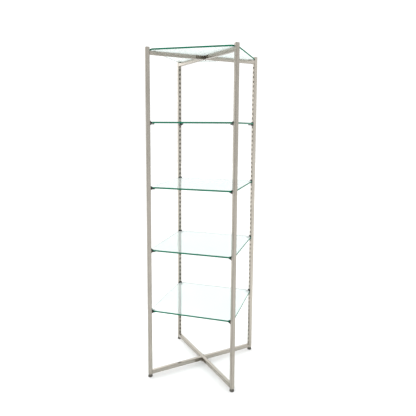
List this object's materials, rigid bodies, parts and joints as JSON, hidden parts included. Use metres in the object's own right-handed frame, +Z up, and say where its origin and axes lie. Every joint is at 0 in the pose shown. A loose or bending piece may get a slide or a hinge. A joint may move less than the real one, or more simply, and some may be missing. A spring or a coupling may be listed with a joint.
{
  "type": "glass shelving tower",
  "caption": "Free-standing square glass display tower: steel frames crossing as an X, slotted uprights, hook-in brackets and clipped-corner glass shelves; the empty frame folds flat.",
  "frame": {"origin": "on the floor, under the middle of the tower", "axes": "+Z up; X and Y along the edges of the panes; -Y is the front that the picture shows, +X its right"},
  "size_m": [0.4782, 0.4782, 1.73],
  "materials": {
    "satin_nickel": "satin nickel plate",
    "clip_steel": "dark zinc plate",
    "hinge_steel": "dull plated steel",
    "clear_glass": "clear tempered glass with ground green edges",
    "foot_plastic": "moulded black plastic",
    "pad_rubber": "soft dark rubber"
  },
  "bodies": {
    "through_frame": {"upright_front_right": "satin_nickel", "end_cap_front_right": "satin_nickel", "foot_socket_front_right": "foot_plastic", "glass_pad_front_right": "pad_rubber", "shelf_bracket_1_front_right": "clip_steel", "shelf_bracket_2_front_right": "clip_steel", "shelf_bracket_3_front_right": "clip_steel", "shelf_bracket_4_front_right": "clip_steel", "upright_rear_left": "satin_nickel", "end_cap_rear_left": "satin_nickel", "foot_socket_rear_left": "foot_plastic", "glass_pad_rear_left": "pad_rubber", "shelf_bracket_1_rear_left": "clip_steel", "shelf_bracket_2_rear_left": "clip_steel", "shelf_bracket_3_rear_left": "clip_steel", "shelf_bracket_4_rear_left": "clip_steel", "top_through_bar": "satin_nickel", "top_hinge_through_leaf_front": "hinge_steel", "top_hinge_pin_front": "hinge_steel", "top_hinge_through_leaf_rear": "hinge_steel", "top_hinge_pin_rear": "hinge_steel", "bottom_through_bar": "satin_nickel", "bottom_hinge_through_leaf_front": "hinge_steel", "bottom_hinge_pin_front": "hinge_steel", "bottom_hinge_through_leaf_rear": "hinge_steel", "bottom_hinge_pin_rear": "hinge_steel"},
    "front_left_frame": {"upright_front_left": "satin_nickel", "end_cap_front_left": "satin_nickel", "foot_socket_front_left": "foot_plastic", "glass_pad_front_left": "pad_rubber", "shelf_bracket_1_front_left": "clip_steel", "shelf_bracket_2_front_left": "clip_steel", "shelf_bracket_3_front_left": "clip_steel", "shelf_bracket_4_front_left": "clip_steel", "top_half_bar_front_left": "satin_nickel", "top_hinge_half_leaf_front": "hinge_steel", "bottom_half_bar_front_left": "satin_nickel", "bottom_hinge_half_leaf_front": "hinge_steel"},
    "rear_right_frame": {"upright_rear_right": "satin_nickel", "end_cap_rear_right": "satin_nickel", "foot_socket_rear_right": "foot_plastic", "glass_pad_rear_right": "pad_rubber", "shelf_bracket_1_rear_right": "clip_steel", "shelf_bracket_2_rear_right": "clip_steel", "shelf_bracket_3_rear_right": "clip_steel", "shelf_bracket_4_rear_right": "clip_steel", "top_half_bar_rear_right": "satin_nickel", "top_hinge_half_leaf_rear": "hinge_steel", "bottom_half_bar_rear_right": "satin_nickel", "bottom_hinge_half_leaf_rear": "hinge_steel"},
    "foot_front_left": {"levelling_foot_front_left": "foot_plastic"},
    "foot_front_right": {"levelling_foot_front_right": "foot_plastic"},
    "foot_rear_left": {"levelling_foot_rear_left": "foot_plastic"},
    "foot_rear_right": {"levelling_foot_rear_right": "foot_plastic"},
    "top_pane": {"top_glass": "clear_glass"},
    "shelf_pane_1": {"glass_shelf_1": "clear_glass"},
    "shelf_pane_2": {"glass_shelf_2": "clear_glass"},
    "shelf_pane_3": {"glass_shelf_3": "clear_glass"},
    "shelf_pane_4": {"glass_shelf_4": "clear_glass"}
  },
  "joints": [
    {"name": "fold_front_left", "type": "hinge", "parent": "through_frame", "child": "front_left_frame", "pos_m": [0, -0.01814, 0.8], "axis": [0, 0, 1], "range_deg": [0, 90]},
    {"name": "fold_rear_right", "type": "hinge", "parent": "through_frame", "child": "rear_right_frame", "pos_m": [0, 0.01814, 0.8], "axis": [0, 0, 1], "range_deg": [0, 90]},
    {"name": "top_glass_lift", "type": "slide", "parent": "through_frame", "child": "top_pane", "axis": [0, 0, 1], "range_m": [0, 0.1]},
    {"name": "shelf_1_lift", "type": "slide", "parent": "through_frame", "child": "shelf_pane_1", "axis": [0, 0, 1], "range_m": [0, 0.05]},
    {"name": "shelf_2_lift", "type": "slide", "parent": "through_frame", "child": "shelf_pane_2", "axis": [0, 0, 1], "range_m": [0, 0.05]},
    {"name": "shelf_3_lift", "type": "slide", "parent": "through_frame", "child": "shelf_pane_3", "axis": [0, 0, 1], "range_m": [0, 0.05]},
    {"name": "shelf_4_lift", "type": "slide", "parent": "through_frame", "child": "shelf_pane_4", "axis": [0, 0, 1], "range_m": [0, 0.05]},
    {"name": "foot_front_left_screw", "type": "slide", "parent": "front_left_frame", "child": "foot_front_left", "axis": [0, 0, -1], "range_m": [0, 0.01]},
    {"name": "foot_front_right_screw", "type": "slide", "parent": "through_frame", "child": "foot_front_right", "axis": [0, 0, -1], "range_m": [0, 0.01]},
    {"name": "foot_rear_left_screw", "type": "slide", "parent": "through_frame", "child": "foot_rear_left", "axis": [0, 0, -1], "range_m": [0, 0.01]},
    {"name": "foot_rear_right_screw", "type": "slide", "parent": "rear_right_frame", "child": "foot_rear_right", "axis": [0, 0, -1], "range_m": [0, 0.01]}
  ]
}
